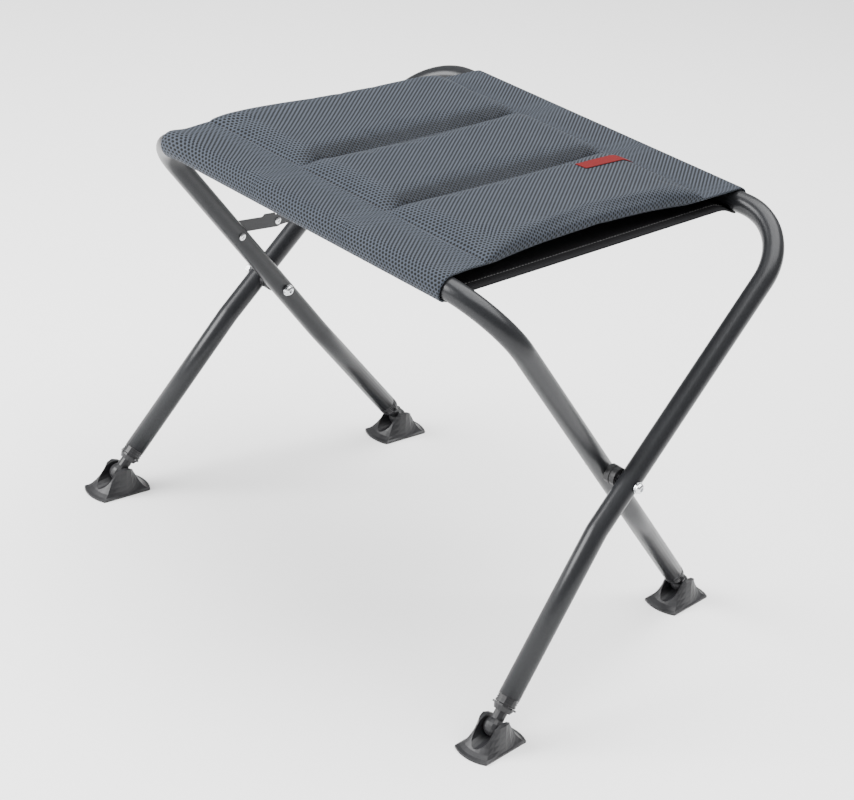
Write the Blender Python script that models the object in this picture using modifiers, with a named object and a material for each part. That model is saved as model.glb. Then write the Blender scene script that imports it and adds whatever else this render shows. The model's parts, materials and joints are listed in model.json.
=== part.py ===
"""Folding camp stool with two crossed tube frames, a padded mesh seat, a folding stay and ball-jointed feet.

Metres, +Z up, standing on z = 0 under the middle of the seat. +X runs along the seat rails and +Y from
the inner frame's rail to the outer frame's rail. The stool is modelled open, as it is sat on.
"""

import math

import bmesh
import bpy
from mathutils import Matrix, Vector

MM = 0.001

# Overall sizes
RAIL_HEIGHT = 450 * MM
RAIL_SPACING = 416 * MM
RAIL_MIDDLE_Y = -1.8 * MM
PIVOT_HALF_WIDTH = 237 * MM
SEAT_HALF_LENGTH = 186 * MM

# Frame tubes
TUBE_DIAMETER = 22 * MM
TUBE_WALL = 1.5 * MM
RAIL_BEND_RADIUS = 68 * MM
KNEE_BEND_RADIUS = 60 * MM
PIVOT_GAP = 13.5 * MM
RAIL_LEAN = 10 * MM
FOOT_SPREAD = 17 * MM
INNER_UPPER_ANGLE = math.radians(42.6)
INNER_LOWER_ANGLE = math.radians(43.5)
INNER_KNEE_BELOW_PIVOT = 91 * MM
OUTER_UPPER_ANGLE = math.radians(44.3)
OUTER_LOWER_ANGLE = math.radians(37.0)
OUTER_KNEE_BELOW_PIVOT = 57 * MM

# Pivot fasteners
BOLT_DIAMETER = 6 * MM
BOLT_HEAD_DIAMETER = 11 * MM
BOLT_HEAD_HEIGHT = 4 * MM
BOLT_SOCKET_ACROSS = 4 * MM
BOLT_SOCKET_DEPTH = 2.2 * MM
NUT_ACROSS = 10 * MM
NUT_HEIGHT = 5 * MM
WASHER_DIAMETER = 12.5 * MM
WASHER_THICKNESS = 1 * MM
SPACER_DIAMETER = 20 * MM
SPACER_GROOVE_WIDTH = 1.2 * MM
SPACER_GROOVE_DEPTH = 0.8 * MM

# Folding stay on the left-hand side
STAY_REACH = 105 * MM
STAY_OVER_CENTRE = 4.5 * MM
STAY_WIDTH = 14 * MM
STAY_THICKNESS = 1.2 * MM
STAY_STOP_LENGTH = 20 * MM
STAY_STOP_HEIGHT = 3 * MM
RIVET_DIAMETER = 4 * MM
RIVET_HEAD_DIAMETER = 8 * MM
RIVET_HEAD_HEIGHT = 1.2 * MM
RIVET_DIMPLE_DIAMETER = 3.6 * MM
RIVET_DIMPLE_DEPTH = 1 * MM
STAY_WASHER_DIAMETER = 11 * MM
STAY_WASHER_THICKNESS = 0.6 * MM

# Feet
BALL_DIAMETER = 20 * MM
BALL_ABOVE_FLOOR = 11.5 * MM
NECK_DIAMETER = 13 * MM
STUD_TAPER_START = 16.5 * MM
STUD_TAPER_DIAMETER = 17 * MM
STUD_FLANGE_END = 23 * MM
STUD_FLANGE_DIAMETER = 21.4 * MM
STUD_SHANK_DIAMETER = 8 * MM
STUD_SHANK_LENGTH = 24 * MM
EAR_REACH = 13.5 * MM
EAR_THICKNESS = 2 * MM
PLUG_CAP_LENGTH = 7.7 * MM
PLUG_SHANK_LENGTH = 25 * MM
PLUG_GROOVE = 0.6 * MM
PAD_LENGTH = 72 * MM
PAD_WIDTH = 40 * MM
PAD_END_BULGE = 6 * MM
PAD_RIM = 2.2 * MM
PAD_LOBE_WALL = 5 * MM
PAD_LOBE_ABOVE_BALL = 9 * MM
PAD_SADDLE_ABOVE_BALL = 2 * MM
PAD_FLARE = 1.8
PAD_SLOT_NARROWER_THAN_BALL = 1 * MM
PAD_SLOT_SLOPE = math.radians(10)
PAD_SLOT_OVERLAP = 3 * MM
PAD_YAW = math.radians(4)

# Seat
SLEEVE_CLEARANCE = 1 * MM
COVER_THICKNESS = 2.5 * MM
COVER_RISE = 8 * MM
INNER_BORDER = 46 * MM
OUTER_BORDER = 56 * MM
BORDER_SLOPE = 14 * MM
PAD_CORE_THICKNESS = 14 * MM
PAD_CORE_GAP = 5 * MM
PAD_CORE_COUNT = 3
LINING_THICKNESS = 2 * MM

# Clearances
TOUCH_GAP = 0.3 * MM
CREST_GAP = 0.6 * MM
BORE_GAP = 0.3 * MM
LINK_GAP = 0.35 * MM
SOCKET_GAP = 0.6 * MM

ROUND_STEPS = 16
TUBE_BEVEL_RESOLUTION = 6
BEND_STEP = math.radians(10)
MERGE = 0.00001

LEFT = -1
RIGHT = 1
SIDE_NAMES = {LEFT: "left", RIGHT: "right"}
TUBE_RADIUS = TUBE_DIAMETER / 2
BALL_HEIGHT = BALL_ABOVE_FLOOR + BALL_DIAMETER / 2


def clear_scene():
    for old in list(bpy.data.objects):
        bpy.data.objects.remove(old, do_unlink=True)


def new_collection(name):
    collection = bpy.data.collections.new(name)
    bpy.context.scene.collection.children.link(collection)
    return collection


clear_scene()
PARTS = new_collection("camp_stool")
CUTTERS = new_collection("cutters")
CUTTERS.hide_render = True


# ---------------------------------------------------------------- materials

def material(name, colour, roughness, metallic=0.0):
    made = bpy.data.materials.new(name)
    made.use_nodes = True
    shader = made.node_tree.nodes["Principled BSDF"]
    shader.inputs["Base Color"].default_value = (*colour, 1.0)
    shader.inputs["Roughness"].default_value = roughness
    shader.inputs["Metallic"].default_value = metallic
    return made


FRAME_PAINT = material("frame_paint", (0.060, 0.064, 0.068), 0.34, 0.75)
BRIGHT_ZINC = material("bright_zinc", (0.78, 0.79, 0.80), 0.22, 1.0)
FOOT_PLASTIC = material("foot_plastic", (0.030, 0.031, 0.034), 0.45)
SPACER_PLASTIC = material("spacer_plastic", (0.018, 0.018, 0.020), 0.5)
SEAT_MESH = material("seat_mesh", (0.095, 0.125, 0.175), 0.85)
PAD_FOAM = material("pad_foam", (0.10, 0.11, 0.13), 0.95)
LINING_CLOTH = material("lining_cloth", (0.010, 0.010, 0.012), 0.85)


# ------------------------------------------------------------ shape helpers

def add_object(name, data, paint, matrix=None, collection=PARTS):
    obj = bpy.data.objects.new(name, data)
    collection.objects.link(obj)
    if paint is not None:
        data.materials.clear()
        data.materials.append(paint)
    if matrix is not None:
        obj.matrix_world = matrix
    return obj


def smooth(mesh, sharp_angle=math.radians(35)):
    mesh.shade_smooth()
    mesh.set_sharp_from_angle(angle=sharp_angle)


def mesh_from_curve(curve_object):
    """The curve's evaluated mesh as a new object in the same place; the curve is removed."""
    bpy.context.view_layer.update()
    evaluated = curve_object.evaluated_get(bpy.context.evaluated_depsgraph_get())
    mesh = bpy.data.meshes.new_from_object(evaluated)
    welded = bmesh.new()
    welded.from_mesh(mesh)
    bmesh.ops.remove_doubles(welded, verts=welded.verts, dist=MERGE)
    welded.to_mesh(mesh)
    welded.free()
    name = curve_object.name
    matrix = curve_object.matrix_world.copy()
    collection = curve_object.users_collection[0]
    bpy.data.objects.remove(curve_object, do_unlink=True)
    return add_object(name, mesh, None, matrix, collection)


def turned(name, profile, paint, matrix, is_ring=False, steps=ROUND_STEPS):
    """A profile of (radius, height) points, top to bottom down its outer side, turned about local Z."""
    mesh = bpy.data.meshes.new(name)
    points = [(radius, 0.0, height) for radius, height in profile]
    edges = [(i, i + 1) for i in range(len(points) - 1)]
    if is_ring:
        edges.append((len(points) - 1, 0))
    mesh.from_pydata(points, edges, [])
    obj = add_object(name, mesh, paint, matrix)
    screw = obj.modifiers.new("turn", "SCREW")
    screw.axis = "Z"
    screw.steps = steps
    screw.render_steps = steps
    screw.use_merge_vertices = True
    screw.merge_threshold = MERGE
    screw.use_smooth_shade = True
    return obj


def ring(name, outer_radius, inner_radius, height, paint, matrix):
    """A flat washer or spacer centred on its matrix, with its hole along local Z."""
    half = height / 2
    profile = [(outer_radius, half), (outer_radius, -half), (inner_radius, -half), (inner_radius, half)]
    return turned(name, profile, paint, matrix, is_ring=True)


def cutter(name, mesh, matrix):
    obj = add_object(name, mesh, None, matrix, CUTTERS)
    obj.hide_render = True
    obj.display_type = "WIRE"
    return obj


def cylinder_mesh(name, radius, length, segments=ROUND_STEPS):
    made = bmesh.new()
    bmesh.ops.create_cone(
        made, cap_ends=True, segments=segments, radius1=radius, radius2=radius, depth=length
    )
    mesh = bpy.data.meshes.new(name)
    made.to_mesh(mesh)
    made.free()
    return mesh


def combine(target, tool, operation):
    boolean = target.modifiers.new(tool.name, "BOOLEAN")
    boolean.operation = operation
    boolean.solver = "EXACT"
    boolean.object = tool


def cut_hole(target, centre, radius, length):
    """A round hole along X through target, centred at a point."""
    name = f"{target.name}_hole_{len(target.modifiers)}"
    mesh = cylinder_mesh(name, radius, length)
    combine(target, cutter(name, mesh, place(centre, X_AXIS)), "DIFFERENCE")


def extruded(name, outlines, thickness, paint, matrix, collection=PARTS):
    """Closed flat outlines in local XY, filled and given a thickness along local Z."""
    curve = bpy.data.curves.new(name, "CURVE")
    curve.dimensions = "2D"
    curve.fill_mode = "BOTH"
    curve.extrude = thickness / 2
    for outline in outlines:
        spline = curve.splines.new("POLY")
        spline.points.add(len(outline) - 1)
        for point, (x, y) in zip(spline.points, outline):
            point.co = (x, y, 0.0, 1.0)
        spline.use_cyclic_u = True
    obj = mesh_from_curve(add_object(name, curve, None, matrix, collection))
    if paint is not None:
        obj.data.materials.clear()
        obj.data.materials.append(paint)
    return obj


def arc(centre, radius, start, end, steps):
    """Points on an arc in the plane, from one angle to another, both ends included."""
    angles = [start + (end - start) * i / steps for i in range(steps + 1)]
    return [(centre[0] + radius * math.cos(a), centre[1] + radius * math.sin(a)) for a in angles]


def rounded_path(points, radii):
    """A line through points in space with each inner corner rounded to its radius."""
    path = [points[0]]
    for before, corner, after, radius in zip(points, points[1:], points[2:], radii):
        to_before = (before - corner).normalized()
        to_after = (after - corner).normalized()
        half_angle = to_before.angle(to_after) / 2
        start = corner + to_before * radius / math.tan(half_angle)
        centre = corner + (to_before + to_after).normalized() * radius / math.sin(half_angle)
        turn_axis = to_after.cross(to_before).normalized()
        sweep = math.pi - 2 * half_angle
        steps = max(2, math.ceil(sweep / BEND_STEP))
        for i in range(steps + 1):
            turn = Matrix.Rotation(sweep * i / steps, 3, turn_axis)
            path.append(centre + turn @ (start - centre))
    path.append(points[-1])
    return path


X_AXIS = Vector((1, 0, 0))


def place(origin, z_direction, x_hint=Vector((1, 0, 0))):
    """A matrix at origin whose local Z lies along z_direction and local X as near x_hint as it can."""
    z_axis = z_direction.normalized()
    if abs(z_axis.dot(x_hint)) > 0.99:
        x_hint = Vector((0, 0, 1))
    x_axis = (x_hint - z_axis * x_hint.dot(z_axis)).normalized()
    y_axis = z_axis.cross(x_axis)
    turn = Matrix((x_axis, y_axis, z_axis)).transposed()
    return Matrix.Translation(origin) @ turn.to_4x4()


# ------------------------------------------------------------ frame geometry

class Frame:
    """One U-shaped tube: a seat rail, two corner bends, and two legs that each have a slight knee."""

    def __init__(self, name, rail_side, upper, lower, knee_below, pivot_half, rail_half, foot_half):
        self.name = name
        self.rail_side = rail_side
        self.upper = upper
        self.lower = lower
        self.knee_below = knee_below
        self.pivot_half = pivot_half
        self.rail_half = rail_half
        self.foot_half = foot_half

    def above_pivot(self, side, distance):
        """The point on a leg's axis this far above the pivot, along the leg as seen from the side."""
        pivot = pivot_point()
        x = self.pivot_half + (self.rail_half - self.pivot_half) * distance / self.pivot_to_rail()
        y = pivot.y + self.rail_side * distance * math.sin(self.upper)
        z = pivot.z + distance * math.cos(self.upper)
        return Vector((side * x, y, z))

    def pivot_to_rail(self):
        return (RAIL_HEIGHT - pivot_point().z) / math.cos(self.upper)

    def corner(self, side):
        return self.above_pivot(side, self.pivot_to_rail())

    def knee(self, side):
        return self.above_pivot(side, -self.knee_below)

    def ball(self, side):
        knee = self.knee(side)
        reach = (knee.z - BALL_HEIGHT) * math.tan(self.lower)
        return Vector((side * self.foot_half, knee.y - self.rail_side * reach, BALL_HEIGHT))

    def leg_direction(self, side):
        """Up the lower leg, from the ball to the knee."""
        return (self.knee(side) - self.ball(side)).normalized()

    def tube_end(self, side):
        reach = STUD_FLANGE_END + TOUCH_GAP + PLUG_CAP_LENGTH + TOUCH_GAP
        return self.ball(side) + self.leg_direction(side) * reach


def pivot_point():
    """Where the two frames' legs cross, seen from the side. The fold turns about X through it."""
    drop = RAIL_SPACING / (math.tan(INNER_UPPER_ANGLE) + math.tan(OUTER_UPPER_ANGLE))
    y = RAIL_MIDDLE_Y - RAIL_SPACING / 2 + drop * math.tan(INNER_UPPER_ANGLE)
    return Vector((0, y, RAIL_HEIGHT - drop))


OUTER_PIVOT_HALF = PIVOT_HALF_WIDTH + TUBE_DIAMETER + PIVOT_GAP
INNER = Frame(
    "inner",
    rail_side=-1,
    upper=INNER_UPPER_ANGLE,
    lower=INNER_LOWER_ANGLE,
    knee_below=INNER_KNEE_BELOW_PIVOT,
    pivot_half=PIVOT_HALF_WIDTH,
    rail_half=PIVOT_HALF_WIDTH + RAIL_LEAN,
    foot_half=PIVOT_HALF_WIDTH - FOOT_SPREAD,
)
OUTER = Frame(
    "outer",
    rail_side=1,
    upper=OUTER_UPPER_ANGLE,
    lower=OUTER_LOWER_ANGLE,
    knee_below=OUTER_KNEE_BELOW_PIVOT,
    pivot_half=OUTER_PIVOT_HALF,
    rail_half=OUTER_PIVOT_HALF - RAIL_LEAN,
    foot_half=OUTER_PIVOT_HALF + FOOT_SPREAD,
)


def frame_tube(frame):
    """The bent tube: an open swept surface with a wall, then the pivot holes."""
    corners = [
        frame.tube_end(LEFT),
        frame.knee(LEFT),
        frame.corner(LEFT),
        frame.corner(RIGHT),
        frame.knee(RIGHT),
        frame.tube_end(RIGHT),
    ]
    radii = [KNEE_BEND_RADIUS, RAIL_BEND_RADIUS, RAIL_BEND_RADIUS, KNEE_BEND_RADIUS]
    path = rounded_path(corners, radii)
    name = f"{frame.name}_frame_tube"
    curve = bpy.data.curves.new(name, "CURVE")
    curve.dimensions = "3D"
    curve.bevel_depth = TUBE_RADIUS
    curve.bevel_resolution = TUBE_BEVEL_RESOLUTION
    spline = curve.splines.new("POLY")
    spline.points.add(len(path) - 1)
    for point, place_on_path in zip(spline.points, path):
        point.co = (*place_on_path, 1.0)
    tube = mesh_from_curve(add_object(name, curve, FRAME_PAINT))
    tube.data.materials.clear()
    tube.data.materials.append(FRAME_PAINT)
    smooth(tube.data, math.radians(60))
    wall = tube.modifiers.new("wall", "SOLIDIFY")
    wall.thickness = TUBE_WALL
    wall.offset = -1
    hole_length = TUBE_DIAMETER + 2 * PIVOT_GAP / 3
    for side in (LEFT, RIGHT):
        centre = frame.above_pivot(side, 0)
        cut_hole(tube, centre, BOLT_DIAMETER / 2 + BORE_GAP, hole_length)
    cut_hole(tube, frame.above_pivot(LEFT, STAY_REACH), RIVET_DIAMETER / 2 + BORE_GAP, hole_length)
    return tube


# ----------------------------------------------------------------- fasteners

def hex_nut(name, centre):
    radius = NUT_ACROSS / 2 / math.cos(math.pi / 6)
    nut = add_object(name, cylinder_mesh(name, radius, NUT_HEIGHT, 6), BRIGHT_ZINC, place(centre, X_AXIS))
    bore = cylinder_mesh(f"{name}_bore", BOLT_DIAMETER / 2 + BORE_GAP, 2 * NUT_HEIGHT)
    combine(nut, cutter(f"{name}_bore", bore, place(centre, X_AXIS)), "DIFFERENCE")
    return nut


def pivot_bolt(name, head_face, length):
    """A button-head bolt whose shank runs in -X from the underside of its head."""
    head_radius = BOLT_HEAD_DIAMETER / 2
    shank_radius = BOLT_DIAMETER / 2
    crown = 0.55 * head_radius
    profile = [
        (0, BOLT_HEAD_HEIGHT),
        (crown, BOLT_HEAD_HEIGHT),
        (0.85 * head_radius, 0.7 * BOLT_HEAD_HEIGHT),
        (head_radius, 0.3 * BOLT_HEAD_HEIGHT),
        (head_radius, 0),
        (shank_radius, 0),
        (shank_radius, -length),
        (0, -length),
    ]
    bolt = turned(name, profile, BRIGHT_ZINC, place(head_face, X_AXIS))
    socket_radius = BOLT_SOCKET_ACROSS / 2 / math.cos(math.pi / 6)
    socket_mesh = cylinder_mesh(f"{name}_socket", socket_radius, 2 * BOLT_SOCKET_DEPTH, 6)
    socket_centre = head_face + X_AXIS * BOLT_HEAD_HEIGHT
    combine(bolt, cutter(f"{name}_socket", socket_mesh, place(socket_centre, X_AXIS)), "DIFFERENCE")
    return bolt


def pivot_spacer(name, centre):
    """A plastic bush between the two legs, with one groove round its middle."""
    half = PIVOT_GAP / 2 - CREST_GAP
    radius = SPACER_DIAMETER / 2
    bore = BOLT_DIAMETER / 2 + BORE_GAP
    groove_radius = radius - SPACER_GROOVE_DEPTH
    groove_half = SPACER_GROOVE_WIDTH / 2
    profile = [
        (radius, half),
        (radius, groove_half),
        (groove_radius, groove_half),
        (groove_radius, -groove_half),
        (radius, -groove_half),
        (radius, -half),
        (bore, -half),
        (bore, half),
    ]
    turned(name, profile, SPACER_PLASTIC, place(centre, X_AXIS), is_ring=True)


def pivot_fasteners(side):
    """Bolt, two washers, spacer and nut through the crossing. Both bolt heads face +X."""
    pivot = pivot_point()
    label = SIDE_NAMES[side]
    inner_face = PIVOT_HALF_WIDTH - TUBE_RADIUS
    outer_face = OUTER_PIVOT_HALF + TUBE_RADIUS
    washer_step = CREST_GAP + WASHER_THICKNESS / 2
    far_step = CREST_GAP + WASHER_THICKNESS + TOUCH_GAP
    low_x, high_x = sorted((side * inner_face, side * outer_face))
    head_face = Vector((high_x + far_step, pivot.y, pivot.z))
    nut_centre = Vector((low_x - far_step - NUT_HEIGHT / 2, pivot.y, pivot.z))
    bolt_length = head_face.x - nut_centre.x + NUT_HEIGHT / 2 + 2 * TOUCH_GAP
    pivot_bolt(f"pivot_bolt_{label}", head_face, bolt_length)
    hex_nut(f"pivot_nut_{label}", nut_centre)
    for end, x in (("head", high_x + washer_step), ("nut", low_x - washer_step)):
        centre = Vector((x, pivot.y, pivot.z))
        ring(
            f"pivot_{end}_washer_{label}",
            WASHER_DIAMETER / 2,
            BOLT_DIAMETER / 2 + BORE_GAP,
            WASHER_THICKNESS,
            BRIGHT_ZINC,
            place(centre, X_AXIS),
        )
    middle = side * (PIVOT_HALF_WIDTH + OUTER_PIVOT_HALF) / 2
    pivot_spacer(f"pivot_spacer_{label}", Vector((middle, pivot.y, pivot.z)))


# -------------------------------------------------------------- folding stay

def stay_elbow():
    """The elbow joint, a little under the line between the two end rivets, so that the stay locks."""
    front = INNER.above_pivot(LEFT, STAY_REACH)
    rear = OUTER.above_pivot(LEFT, STAY_REACH)
    along = Vector((0, rear.y - front.y, rear.z - front.z)).normalized()
    below = Vector((0, along.z, -along.y))
    middle = Vector((0, (front.y + rear.y) / 2, (front.z + rear.z) / 2))
    return middle + below * STAY_OVER_CENTRE


def stay_length():
    front = INNER.above_pivot(LEFT, STAY_REACH)
    elbow = stay_elbow()
    return math.hypot(elbow.y - front.y, elbow.z - front.z)


def stay_middle_x():
    """Halfway between the two left legs where they come closest to the folded stay."""
    closest = STAY_REACH + stay_length() / 2
    inner_crest = abs(INNER.above_pivot(LEFT, closest).x) + TUBE_RADIUS
    outer_crest = abs(OUTER.above_pivot(LEFT, closest).x) - TUBE_RADIUS
    return (inner_crest + outer_crest) / 2


def stay_link(name, start, end, x_centre, has_stop):
    """A flat bar with round ends and a hole at each, its origin on the rivet that holds it to its leg."""
    length = stay_length()
    half_width = STAY_WIDTH / 2
    quarter = math.pi / 2
    outline = arc((length, 0), half_width, -quarter, quarter, ROUND_STEPS // 2)
    if has_stop:
        stop_end = length - half_width / 2
        stop_start = stop_end - STAY_STOP_LENGTH
        top = half_width + STAY_STOP_HEIGHT
        outline += [
            (stop_end, half_width),
            (stop_end - STAY_STOP_HEIGHT, top),
            (stop_start + STAY_STOP_HEIGHT, top),
            (stop_start, half_width),
        ]
    outline += arc((0, 0), half_width, quarter, 3 * quarter, ROUND_STEPS // 2)
    hole_radius = RIVET_DIAMETER / 2 + BORE_GAP
    holes = [arc((x, 0), hole_radius, 0, -2 * math.pi, ROUND_STEPS)[:-1] for x in (0, length)]
    origin = Vector((x_centre, start.y, start.z))
    along = Vector((0, end.y - start.y, end.z - start.z))
    normal = Vector((1, 0, 0)) if along.y > 0 else Vector((-1, 0, 0))
    return extruded(
        name, [outline, *holes], STAY_THICKNESS, FRAME_PAINT, place(origin, normal, along.normalized())
    )


def rivet(name, start_x, end_x, centre, has_tail_head):
    """A round-headed rivet along X with a dimple in its head, which is at start_x. The shank ends at end_x."""
    direction = Vector((math.copysign(1, start_x - end_x), 0, 0))
    head_radius = RIVET_HEAD_DIAMETER / 2
    shank_radius = RIVET_DIAMETER / 2
    length = abs(start_x - end_x)
    dimple_radius = RIVET_DIMPLE_DIAMETER / 2
    dimple_floor = RIVET_HEAD_HEIGHT - RIVET_DIMPLE_DEPTH
    profile = [
        (0, dimple_floor),
        (0.8 * dimple_radius, dimple_floor),
        (dimple_radius, RIVET_HEAD_HEIGHT),
        (0.6 * head_radius, RIVET_HEAD_HEIGHT),
        (head_radius, 0.4 * RIVET_HEAD_HEIGHT),
        (head_radius, 0),
        (shank_radius, 0),
        (shank_radius, -length),
    ]
    if has_tail_head:
        profile += [
            (0.85 * head_radius, -length),
            (0.85 * head_radius, -length - 0.5 * RIVET_HEAD_HEIGHT),
            (0, -length - 0.8 * RIVET_HEAD_HEIGHT),
        ]
    else:
        profile.append((0, -length))
    origin = Vector((start_x, centre.y, centre.z))
    return turned(name, profile, BRIGHT_ZINC, place(origin, direction))


def folding_stay():
    front = INNER.above_pivot(LEFT, STAY_REACH)
    rear = OUTER.above_pivot(LEFT, STAY_REACH)
    elbow = stay_elbow()
    middle = -stay_middle_x()
    front_x = middle + LINK_GAP / 2 + STAY_THICKNESS / 2
    rear_x = middle - LINK_GAP / 2 - STAY_THICKNESS / 2
    stay_link("stay_link_front", front, elbow, front_x, True)
    stay_link("stay_link_rear", rear, elbow, rear_x, False)
    link_half = STAY_THICKNESS / 2
    rivet(
        "stay_rivet_front",
        front.x + TUBE_RADIUS + CREST_GAP,
        front_x - link_half - TOUCH_GAP,
        front,
        True,
    )
    rivet(
        "stay_rivet_rear",
        rear_x + link_half + TOUCH_GAP,
        rear.x - TUBE_RADIUS - CREST_GAP,
        rear,
        True,
    )
    rivet("stay_rivet_elbow", front_x + link_half + TOUCH_GAP, front_x - link_half, elbow, False)
    washer_half = STAY_WASHER_THICKNESS / 2
    washers = (
        ("stay_washer_front", front_x + link_half + TOUCH_GAP + washer_half, front),
        ("stay_washer_rear", rear_x - link_half - TOUCH_GAP - washer_half, rear),
    )
    for name, x, centre in washers:
        ring(
            name,
            STAY_WASHER_DIAMETER / 2,
            RIVET_DIAMETER / 2 + BORE_GAP,
            STAY_WASHER_THICKNESS,
            BRIGHT_ZINC,
            place(Vector((x, centre.y, centre.z)), X_AXIS),
        )


# ---------------------------------------------------------------------- feet

def leg_matrix(frame, side):
    """At the ball's centre, with local Z up the leg."""
    return place(frame.ball(side), frame.leg_direction(side))


def end_plug(frame, side):
    """A bored plastic plug in the tube's end, with a grooved cap outside it."""
    bore = STUD_SHANK_DIAMETER / 2 + BORE_GAP
    shank = TUBE_RADIUS - TUBE_WALL - 2 * BORE_GAP
    cap = TUBE_RADIUS - 0.1 * MM
    low = STUD_FLANGE_END + TOUCH_GAP
    high = low + PLUG_CAP_LENGTH
    top = high + PLUG_SHANK_LENGTH
    groove_width = PLUG_CAP_LENGTH / 6
    profile = [(bore, top), (shank - PLUG_GROOVE, top), (shank, top - 3 * PLUG_GROOVE), (shank, high), (cap, high)]
    for k in (1, 3):
        start = high - k * groove_width
        profile += [(cap, start), (cap - PLUG_GROOVE, start), (cap - PLUG_GROOVE, start - groove_width)]
        profile.append((cap, start - groove_width))
    profile += [(cap, low + PLUG_GROOVE), (cap - PLUG_GROOVE, low), (bore, low)]
    name = f"{frame.name}_end_plug_{SIDE_NAMES[side]}"
    return turned(name, profile, FOOT_PLASTIC, leg_matrix(frame, side), is_ring=True)


def ball_stud(frame, side):
    """Shank, eared flange, neck and ball in one moulding. It turns in the plug about the leg's axis."""
    ball_radius = BALL_DIAMETER / 2
    neck = NECK_DIAMETER / 2
    shank = STUD_SHANK_DIAMETER / 2
    flange = STUD_FLANGE_DIAMETER / 2
    neck_angle = math.asin(neck / ball_radius)
    arc_steps = ROUND_STEPS // 2
    profile = [
        (0, STUD_FLANGE_END + STUD_SHANK_LENGTH),
        (shank, STUD_FLANGE_END + STUD_SHANK_LENGTH),
        (shank, STUD_FLANGE_END),
        (flange, STUD_FLANGE_END),
        (flange, STUD_FLANGE_END - EAR_THICKNESS),
        (STUD_TAPER_DIAMETER / 2, STUD_TAPER_START),
        (neck, STUD_TAPER_START),
    ]
    for i in range(arc_steps + 1):
        angle = neck_angle + (math.pi - neck_angle) * i / arc_steps
        profile.append((ball_radius * math.sin(angle), ball_radius * math.cos(angle)))
    profile[-1] = (0, -ball_radius)
    name = f"{frame.name}_ball_stud_{SIDE_NAMES[side]}"
    matrix = leg_matrix(frame, side)
    stud = turned(name, profile, FOOT_PLASTIC, matrix)
    ear_height = STUD_FLANGE_END - EAR_THICKNESS / 2
    ear = bmesh.new()
    size = Matrix.Diagonal((2 * EAR_REACH, 2 * EAR_THICKNESS, EAR_THICKNESS, 1))
    bmesh.ops.create_cube(ear, size=1, matrix=Matrix.Translation((0, 0, ear_height)) @ size)
    ear_mesh = bpy.data.meshes.new(f"{name}_ears")
    ear.to_mesh(ear_mesh)
    ear.free()
    combine(stud, cutter(f"{name}_ears", ear_mesh, matrix), "UNION")
    return stud


def pad_outline():
    """The pad's plan: straight long sides and convex ends, as points round the origin from +X."""
    half_width = PAD_WIDTH / 2
    half_length = PAD_LENGTH / 2
    end_radius = (half_width**2 + PAD_END_BULGE**2) / (2 * PAD_END_BULGE)
    half_sweep = math.asin(half_width / end_radius)
    centre = half_length - end_radius
    side_reach = half_length - PAD_END_BULGE
    side = [(half_width, side_reach * k / 3) for k in (-2, -1, 0, 1, 2)]
    quarter = math.pi / 2
    front = arc((0, centre), end_radius, quarter - half_sweep, quarter + half_sweep, 7)
    half_turn = side + front
    return half_turn + [(-x, -y) for x, y in half_turn]


def pad_mesh(name):
    """Rings from the pad's flat base up its flared skirt to the two lobes that hold the ball between them."""
    outline = pad_outline()
    hump_radius = BALL_DIAMETER / 2 + PAD_LOBE_WALL
    saddle = BALL_HEIGHT + PAD_SADDLE_ABOVE_BALL
    lobe_rise = PAD_LOBE_ABOVE_BALL - PAD_SADDLE_ABOVE_BALL
    made = bmesh.new()
    loops = []

    def add_ring(place_at):
        loops.append([made.verts.new(place_at(x, y, math.hypot(x, y))) for x, y in outline])

    def edge_height(x, reach):
        return saddle + lobe_rise * (x / reach) ** 2 - BALL_HEIGHT

    add_ring(lambda x, y, reach: (x, y, -BALL_HEIGHT))
    for t in (1.0, 0.82, 0.62, 0.42, 0.22, 0.06, 0.0):

        def flared(x, y, reach, t=t):
            scale = t + (1 - t) * hump_radius / reach
            rim = PAD_RIM - BALL_HEIGHT
            return (x * scale, y * scale, rim + (edge_height(x, reach) - rim) * (1 - t) ** PAD_FLARE)

        add_ring(flared)
    for share in (0.6, 0.2):

        def domed(x, y, reach, share=share):
            scale = share * hump_radius / reach
            top = PAD_LOBE_ABOVE_BALL
            return (x * scale, y * scale, top + (edge_height(x, reach) - top) * share**2)

        add_ring(domed)
    count = len(outline)
    for lower, upper in zip(loops, loops[1:]):
        for i in range(count):
            j = (i + 1) % count
            made.faces.new((lower[i], lower[j], upper[j], upper[i]))
    made.faces.new(list(reversed(loops[0])))
    made.faces.new(loops[-1])
    bmesh.ops.recalc_face_normals(made, faces=made.faces)
    mesh = bpy.data.meshes.new(name)
    made.to_mesh(mesh)
    made.free()
    return mesh


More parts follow.
